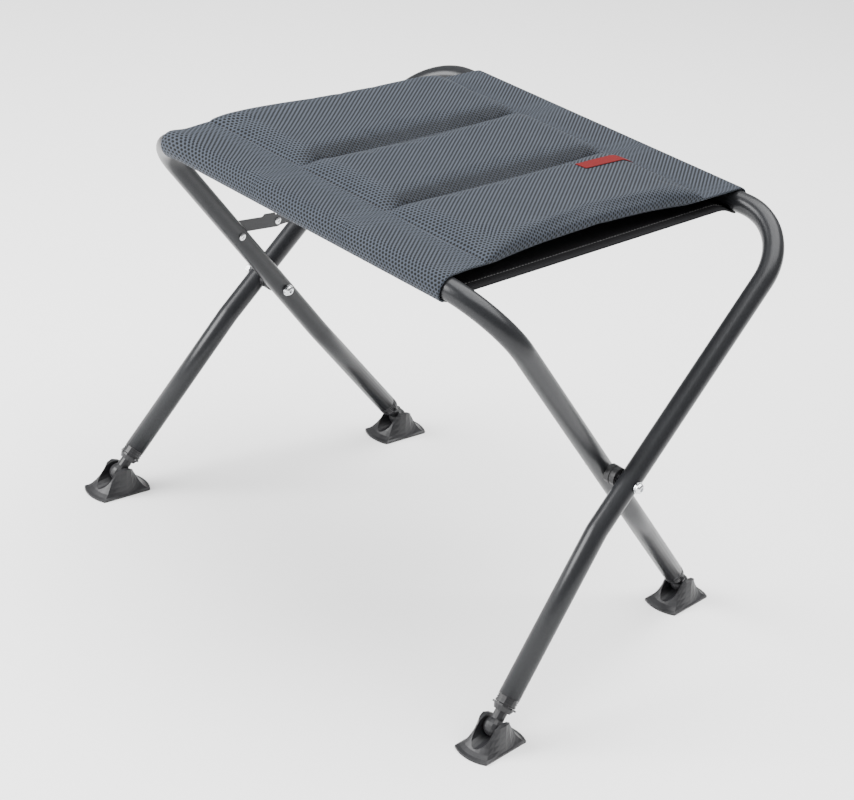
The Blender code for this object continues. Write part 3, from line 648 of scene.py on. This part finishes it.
def air_mesh():
    finish, tree, shader = new_finish("air_mesh")
    across, along = cloth_place(tree)
    edges_across = [column_lengths[k] for k in (0, *seam_columns, last_column)]
    edges_along = [
        SLEEVE_TURN,
        row_lengths[first_fill] + BORDER_TURN,
        row_lengths[last_fill] - BORDER_TURN,
        row_lengths[-1] - SLEEVE_TURN,
    ]
    from_channel = nearest_line(tree, across, edges_across)
    from_border = nearest_line(tree, along, edges_along)
    ribs = ramp(tree, maths(tree, "MINIMUM", from_channel, from_border), OPEN_WIDTH, RIB_WIDTH)
    slant = maths(tree, "DIVIDE", across, WEAVE_ACROSS)
    rise = maths(tree, "DIVIDE", along, WEAVE_ALONG)
    rib_wave = wave(tree, maths(tree, "ADD", slant, rise), 1.0)
    cross_wave = wave(tree, maths(tree, "SUBTRACT", slant, rise), 1.0)
    row_wave = wave(tree, rise, 0.5)
    strong = maths(tree, "ADD", maths(tree, "MULTIPLY", ribs, 0.8), 1.0)
    weak = maths(tree, "SUBTRACT", 1.0, maths(tree, "MULTIPLY", ribs, 0.5))
    others = maths(tree, "MULTIPLY", maths(tree, "ADD", cross_wave, row_wave), weak)
    comb = maths(tree, "ADD", maths(tree, "MULTIPLY", rib_wave, strong), others)
    # Painted shade on each channel's far slope: the holes there open wider and the threads turn darker.
    slope_shade_mask = painted_slope_shade(tree, across, along)
    comb_with_painted_shade = maths(tree, "ADD", comb, maths(tree, "MULTIPLY", slope_shade_mask, 0.6))
    thread = maths(tree, "SUBTRACT", 1.0, ramp(tree, comb_with_painted_shade, -0.8, 0.7))
    shade = object_noise(tree, 40, 4)
    pale = mix_colour(tree, shade, (0.032, 0.039, 0.052, 1), (0.043, 0.052, 0.068, 1))
    hole = mix_colour(tree, ribs, (0.0005, 0.0007, 0.001, 1), (0.003, 0.004, 0.006, 1))
    # The darker thread colour on the far slope is painted shade.
    thread_with_painted_shade = mix_colour(tree, slope_shade_mask, pale, (0.026, 0.032, 0.043, 1))
    feed(tree, shader, {
        "Base Color": mix_colour(tree, thread, hole, thread_with_painted_shade),
        "Roughness": 0.75,
        "Specular IOR Level": 0.2,
        "Sheen Weight": 0.02,
        "Sheen Roughness": 0.5,
        "Normal": bump(tree, thread, 0.0006, 0.8),
    })
    return finish


AIR_MESH = air_mesh()
print("air mesh ready, hole pitch", WEAVE_ACROSS)

# %% [markdown]
# ### Lining cloth, thread and ribbon
#
# The lining is a tight plain weave, the red ribbon is finer still, and both are two crossed cosine waves
# over the cloth's flat coordinates. A thread is twisted from fibres, and at this size fine noise in its
# colour and bump is enough. Seam thread is dyed to the mesh, and the hems' thread is pale.


# %% Lining cloth, thread and ribbon
def lining_cloth():
    finish, tree, shader = new_finish("lining_cloth")
    across, along = cloth_place(tree)
    rib = wave(tree, across, 0.0022)
    cross = wave(tree, along, 0.0016)
    weave = maths(tree, "MULTIPLY", maths(tree, "ADD", rib, 1.0), maths(tree, "ADD", cross, 1.6))
    raised = ramp(tree, weave, 0.5, 4.5)
    feed(tree, shader, {
        "Base Color": mix_colour(tree, raised, (0.003, 0.003, 0.004, 1), (0.014, 0.014, 0.016, 1)),
        "Roughness": 0.8,
        "Specular IOR Level": 0.3,
        "Normal": bump(tree, weave, 0.0002, 0.6),
    })
    return finish


def twisted_thread(name, dark, light):
    finish, tree, shader = new_finish(name)
    fibres = object_noise(tree, 3000, 2)
    feed(tree, shader, {
        "Base Color": mix_colour(tree, fibres, dark, light),
        "Roughness": 0.6,
        "Normal": bump(tree, fibres, 0.0001, 0.5),
    })
    return finish


def red_ribbon():
    finish, tree, shader = new_finish("red_ribbon")
    across, along = cloth_place(tree)
    weave = maths(tree, "MULTIPLY", wave(tree, across, 0.0011), wave(tree, along, 0.0008))
    raised = ramp(tree, weave, -0.8, 0.6)
    feed(tree, shader, {
        "Base Color": mix_colour(tree, raised, (0.06, 0.0008, 0.0012, 1), (0.14, 0.002, 0.003, 1)),
        "Roughness": 0.7,
        "Specular IOR Level": 0.2,
        "Normal": bump(tree, weave, 0.0001, 0.5),
    })
    return finish


LINING_CLOTH = lining_cloth()
SEAM_THREAD = twisted_thread("seam_thread", (0.016, 0.020, 0.027, 1), (0.040, 0.047, 0.060, 1))
HEM_THREAD = twisted_thread("hem_thread", (0.10, 0.10, 0.10, 1), (0.22, 0.22, 0.22, 1))
RED_RIBBON = red_ribbon()
print("finishes ready:", len(bpy.data.materials))

# %% Make the quilt
cover, cover_points = closed_grid(
    "seat_cover_quilt",
    quilt_place,
    last_column,
    last_row,
    lambda i, j: (column_lengths[i], row_lengths[j]),
    AIR_MESH,
    edge_height=EDGE_HEIGHT,
)
sewn = [number for (_, i, j), number in cover_points.items() if is_sewn(i, j)]
print("quilt points:", len(cover_points), "held:", len(sewn))

# %% [markdown]
# ### Filling the channels
#
# The cloth starts a little too big for its seams, and gentle pressure pushes it out from inside. Gravity
# is off, because the tight seat doesn't hang. How far each point may travel is capped, and the result is
# applied, so no simulation is left on the mesh.

# %% Fill the quilt
FILL_FRAMES = 20
FILL_CAP = 0.0035
FILL_PRESSURE = 3.0
FILL_GROWTH = 0.008


def mesh_points(mesh):
    flat = np.empty(len(mesh.vertices) * 3, np.float32)
    mesh.vertices.foreach_get("co", flat)
    return flat.reshape(-1, 3)


def fill_cloth(obj, held):
    """Fills a closed cloth whose held points stay put, and returns how far the freest point moved."""
    pins = obj.vertex_groups.new(name="held")
    pins.add(held, 1.0, "REPLACE")
    before = mesh_points(obj.data)
    cloth = obj.modifiers.new("fill", "CLOTH")
    settings = cloth.settings
    settings.quality = 6
    settings.mass = 0.15
    settings.tension_stiffness = 20
    settings.compression_stiffness = 20
    settings.shear_stiffness = 5
    settings.bending_stiffness = 0.8
    settings.vertex_group_mass = "held"
    settings.shrink_min = -FILL_GROWTH
    settings.use_pressure = True
    settings.uniform_pressure_force = FILL_PRESSURE
    settings.effector_weights.gravity = 0
    cloth.collision_settings.use_collision = False
    cloth.collision_settings.use_self_collision = False
    scene.frame_start = 1
    scene.frame_end = FILL_FRAMES
    for number in range(1, FILL_FRAMES + 1):
        scene.frame_set(number)
    after = mesh_points(obj.evaluated_get(bpy.context.evaluated_depsgraph_get()).data)
    obj.modifiers.remove(cloth)
    scene.frame_set(1)
    move = after - before
    length = np.linalg.norm(move, axis=1, keepdims=True)
    move *= np.minimum(1.0, FILL_CAP / np.maximum(length, 1e-9))
    obj.data.vertices.foreach_set("co", (before + move).astype(np.float32).ravel())
    obj.data.update()
    return float(length.max())


print("largest move:", round(fill_cloth(cover, sewn), 4))

# %% Smooth the cover and hide the plain CAD seat
smooth_cover = cover.modifiers.new("smooth", "SUBSURF")
smooth_cover.levels = 1
smooth_cover.render_levels = 1
bpy.context.view_layer.update()
cover_surface = BVHTree.FromObject(cover, bpy.context.evaluated_depsgraph_get())
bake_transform(cover)
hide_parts("seat_cover", "seat_pad_1", "seat_pad_2", "seat_pad_3")


def on_cover(x, y, above=0.0):
    """A point this far above the cover's upper face."""
    hit = cover_surface.ray_cast(Vector((x, y, 1.0)), Vector((0, 0, -1)))[0]
    return hit + Vector((0, 0, above))


print("channel tops at", [round(on_cover(x, middle_y).z, 4) for x in (-0.126, -0.005, 0.12)])

# %% [markdown]
# ### Seam thread
#
# Every seam is a row of short stitches that bite into the mesh at both ends. Each stitch is a strand of
# three points, low at its ends and proud in its middle, set on the finished cover.

# %% Stitches
STITCH_LENGTH = 0.0030
STITCH_GAP = 0.0012
THREAD_RADIUS = 0.00035
ROW_START = 0.004
ROW_END = 0.006
CHANNEL_ROW_START = 0.003


def stitch_row(start, end, at):
    """Stitches from start to end, where at(distance, height) gives a point on the row."""
    made = []
    for s in run(start, end, STITCH_LENGTH + STITCH_GAP):
        middle = at(s + STITCH_LENGTH / 2, THREAD_RADIUS)
        made.append([at(s, -THREAD_RADIUS), middle, at(s + STITCH_LENGTH, -THREAD_RADIUS)])
    return made


def fix_to_seat(piece):
    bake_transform(piece)


def border_row(y):
    return stitch_row(ROW_START - SEAT_HALF, SEAT_HALF - ROW_END, lambda s, up: on_cover(s, y, up))


def channel_row(x):
    start = INNER_SEAM_Y + CHANNEL_ROW_START
    return stitch_row(start, OUTER_SEAM_Y - ROW_END, lambda s, up: on_cover(x, s, up))


rows = border_row(INNER_SEAM_Y) + border_row(OUTER_SEAM_Y)
rows += channel_row(CHANNEL_SEAMS[0]) + channel_row(CHANNEL_SEAMS[1])
stitches = swept("seat_stitches", rows, THREAD_RADIUS, 1, SEAM_THREAD, caps=True)
fix_to_seat(stitches)
print("stitches:", len(rows))

# %% [markdown]
# ### Red tab
#
# One plain red ribbon is sewn flat on the near channel, beside the outer border. It has no lettering. It
# is a small closed grid that lies on the cover point by point.

# %% Red tab
TAB_CENTRE = (0.090, 0.104)
TAB_HALF_LENGTH = 0.036
TAB_HALF_WIDTH = 0.0075
TAB_THICKNESS = 0.0007
TAB_GAP = 0.0003
tab_across = [TAB_CENTRE[0] + TAB_HALF_WIDTH * k / 3 for k in range(-3, 4)]
tab_along = [TAB_CENTRE[1] + TAB_HALF_LENGTH * k / 14 for k in range(-14, 15)]


def tab_place(layer, i, j):
    return on_cover(tab_across[i], tab_along[j], TAB_GAP + TAB_THICKNESS * (layer > 0))


tab, _ = closed_grid(
    "seat_red_tab", tab_place, len(tab_across) - 1, len(tab_along) - 1,
    lambda i, j: (tab_across[i], tab_along[j]), RED_RIBBON,
)
fix_to_seat(tab)
print("tab:", 2 * TAB_HALF_LENGTH, "x", 2 * TAB_HALF_WIDTH, "m")

# %% [markdown]
# ## The lining
#
# A plain black cloth is stretched under the cover between the undersides of the two sleeves, and holds
# the rails apart when someone sits down. It stands a little higher between them than where it is sewn.
# Each free edge is turned over in a hem, so it is thicker there and shows a line of pale thread.

# %% Lining
lining_low, lining_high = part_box("seat_lining")
HEM_WIDTH = 0.014
HEM_EXTRA = 0.0008
LINING_HALF = 0.0006
LINING_RISE = (0.0035, 0.0085)
RISE_WIDTH = 0.030
HEM_STEP = 0.0035
LINING_STEP_ACROSS = 0.010
LINING_STEP_ALONG = 0.006
HEM_FOLD = 0.001
lining_columns = run(-SEAT_HALF, -SEAT_HALF + HEM_WIDTH, HEM_STEP)
lining_columns += run(-SEAT_HALF + HEM_WIDTH, SEAT_HALF - HEM_WIDTH, LINING_STEP_ACROSS)
lining_columns += run(SEAT_HALF - HEM_WIDTH, SEAT_HALF, HEM_STEP) + [SEAT_HALF]
lining_rows = run(lining_low.y, lining_high.y, LINING_STEP_ALONG) + [lining_high.y]
lining_z = (lining_low.z + lining_high.z) / 2


def lining_height(y):
    """The lining's middle, low at both sleeves and highest towards the outer rail."""
    along = (y - lining_low.y) / (lining_high.y - lining_low.y)
    from_sleeve = min(y - lining_low.y, lining_high.y - y)
    rise = LINING_RISE[0] + (LINING_RISE[1] - LINING_RISE[0]) * along
    return lining_z + rise * math.sin(math.pi / 2 * min(from_sleeve / RISE_WIDTH, 1.0))


def lining_half(x):
    """Half the cloth's thickness: doubled in the hem, and thin at the very edge."""
    from_edge = SEAT_HALF - abs(x)
    if from_edge < HEM_FOLD:
        return LINING_HALF
    return LINING_HALF + HEM_EXTRA * (from_edge < HEM_WIDTH - HEM_FOLD)


def lining_place(layer, i, j):
    x, y = lining_columns[i], lining_rows[j]
    return Vector((x, y, lining_height(y) + layer * lining_half(x)))


lining, _ = closed_grid(
    "seat_lining_cloth", lining_place, len(lining_columns) - 1, len(lining_rows) - 1,
    lambda i, j: (lining_columns[i], lining_rows[j]), LINING_CLOTH,
)
fix_to_seat(lining)
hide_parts("seat_lining")

hem_rows = []
for way in (-1, 1):
    for layer in (-1, 1):
        hem_x = way * (SEAT_HALF - 0.8 * HEM_WIDTH)

        def on_hem(s, up, x=hem_x, layer=layer):
            return Vector((x, s, lining_height(s) + layer * (LINING_HALF + HEM_EXTRA + up)))

        hem_rows += stitch_row(lining_low.y + 0.004, lining_high.y - 0.008, on_hem)
hem_stitches = swept("lining_stitches", hem_rows, THREAD_RADIUS, 1, HEM_THREAD, caps=True)
fix_to_seat(hem_stitches)
print("lining rows:", len(lining_rows), "hem stitches:", len(hem_rows))
